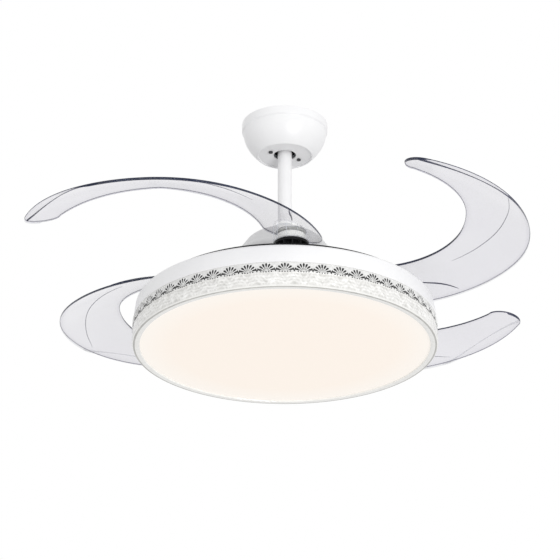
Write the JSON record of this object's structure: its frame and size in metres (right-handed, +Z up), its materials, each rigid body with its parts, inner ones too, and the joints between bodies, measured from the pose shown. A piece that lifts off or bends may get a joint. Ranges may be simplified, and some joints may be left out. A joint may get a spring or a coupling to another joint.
{
  "type": "retractable blade ceiling fan",
  "caption": "Ceiling fan with a downrod, a round lit drum with a crystal rim, and clear crescent blades that fold in over the drum.",
  "frame": {"origin": "on the ceiling, at the middle of the bracket's flat top", "axes": "+Z up into the ceiling, -Y towards the viewer of the picture, +X to the viewer's right"},
  "size_m": [0.8182, 0.8182, 0.4144],
  "materials": {
    "white_metal": "smooth white powder coat, half gloss",
    "steel": "zinc-plated steel",
    "dark_steel": "blackened screw",
    "white_aluminium": "aluminium with a smooth white powder coat",
    "black_plastic": "black moulded plastic, satin",
    "white_plastic": "off-white moulded plastic",
    "clear_blade": "water-clear polished plastic, faintly blue at its edges",
    "crystal": "clear moulded plastic with cut facets and a band of shells",
    "milky_diffuser": "milky plastic, lit warm white from behind",
    "led_board": "white circuit board with LEDs",
    "copper": "enamelled copper wire",
    "bronze": "sintered bronze",
    "magnet": "bonded magnet ring"
  },
  "bodies": {
    "ceiling_mount": {"ceiling_bracket": "steel", "canopy": "white_metal", "canopy_screw_1": "dark_steel", "canopy_screw_2": "dark_steel", "remote_receiver": "white_plastic", "terminal_block": "white_plastic"},
    "hanger_liner": {"ball_liner": "white_plastic"},
    "pendant": {"hanger_ball": "black_plastic", "ball_cross_pin": "steel", "downrod": "white_metal", "motor_shaft": "steel", "yoke_bolt": "steel", "yoke_nut": "steel", "stator_core": "steel", "winding_upper": "copper", "winding_lower": "copper", "upper_bearing": "steel", "lower_bearing": "steel", "lamp_flange": "steel", "shaft_nut": "steel", "lamp_pan": "white_aluminium", "led_driver": "white_plastic", "motor_controller": "white_plastic", "led_tray": "white_aluminium", "led_board": "led_board"},
    "shade": {"crystal_ring": "crystal", "diffuser": "milky_diffuser"},
    "rotor": {"motor_top_cover": "white_aluminium", "motor_bottom_cover": "white_aluminium", "magnet_ring": "magnet", "carrier_plate": "black_plastic", "plate_bolt_1": "steel", "plate_bolt_2": "steel", "plate_bolt_3": "steel", "plate_bolt_4": "steel", "hinge_post_1": "steel", "hinge_post_2": "steel", "hinge_post_3": "steel", "hinge_post_4": "steel"},
    "sync_ring": {"sync_gear_ring": "white_plastic"},
    "blade_arm_1": {"blade_1": "clear_blade", "blade_hub_1": "black_plastic", "hinge_bush_1": "bronze", "return_spring_1": "steel", "blade_retainer_1": "white_plastic"},
    "blade_arm_2": {"blade_2": "clear_blade", "blade_hub_2": "black_plastic", "hinge_bush_2": "bronze", "return_spring_2": "steel", "blade_retainer_2": "white_plastic"},
    "blade_arm_3": {"blade_3": "clear_blade", "blade_hub_3": "black_plastic", "hinge_bush_3": "bronze", "return_spring_3": "steel", "blade_retainer_3": "white_plastic"},
    "blade_arm_4": {"blade_4": "clear_blade", "blade_hub_4": "black_plastic", "hinge_bush_4": "bronze", "return_spring_4": "steel", "blade_retainer_4": "white_plastic"}
  },
  "joints": [
    {"name": "swing_sideways", "type": "hinge", "parent": "ceiling_mount", "child": "hanger_liner", "pos_m": [0, 0, -0.032], "axis": [0, 1, 0], "range_deg": [-8, 8]},
    {"name": "swing_forward", "type": "hinge", "parent": "hanger_liner", "child": "pendant", "pos_m": [0, 0, -0.032], "axis": [1, 0, 0], "range_deg": [-8, 8]},
    {"name": "rotor_spin", "type": "hinge", "parent": "pendant", "child": "rotor", "pos_m": [0, 0, -0.286], "axis": [0, 0, 1], "continuous": true},
    {"name": "blade_1_fold", "type": "hinge", "parent": "rotor", "child": "blade_arm_1", "pos_m": [0.19473, 0.01021, -0.317], "axis": [0, 0, -1], "range_deg": [0, 70.6]},
    {"name": "blade_2_fold", "type": "hinge", "parent": "rotor", "child": "blade_arm_2", "pos_m": [0.01021, -0.19473, -0.317], "axis": [0, 0, -1], "range_deg": [0, 70.6]},
    {"name": "blade_3_fold", "type": "hinge", "parent": "rotor", "child": "blade_arm_3", "pos_m": [-0.19473, -0.01021, -0.317], "axis": [0, 0, -1], "range_deg": [0, 70.6]},
    {"name": "blade_4_fold", "type": "hinge", "parent": "rotor", "child": "blade_arm_4", "pos_m": [-0.01021, 0.19473, -0.317], "axis": [0, 0, -1], "range_deg": [0, 70.6]},
    {"name": "sync_turn", "type": "hinge", "parent": "rotor", "child": "sync_ring", "pos_m": [0, 0, -0.326], "axis": [0, 0, 1], "range_deg": [0, 10.09]},
    {"name": "shade_twist", "type": "hinge", "parent": "pendant", "child": "shade", "pos_m": [0, 0, -0.393], "axis": [0, 0, 1], "range_deg": [0, 12]}
  ],
  "couplings": [
    {"joint": "blade_2_fold", "follows": "blade_1_fold", "ratio": 1},
    {"joint": "blade_3_fold", "follows": "blade_1_fold", "ratio": 1},
    {"joint": "blade_4_fold", "follows": "blade_1_fold", "ratio": 1},
    {"joint": "sync_turn", "follows": "blade_1_fold", "ratio": 0.14286}
  ]
}
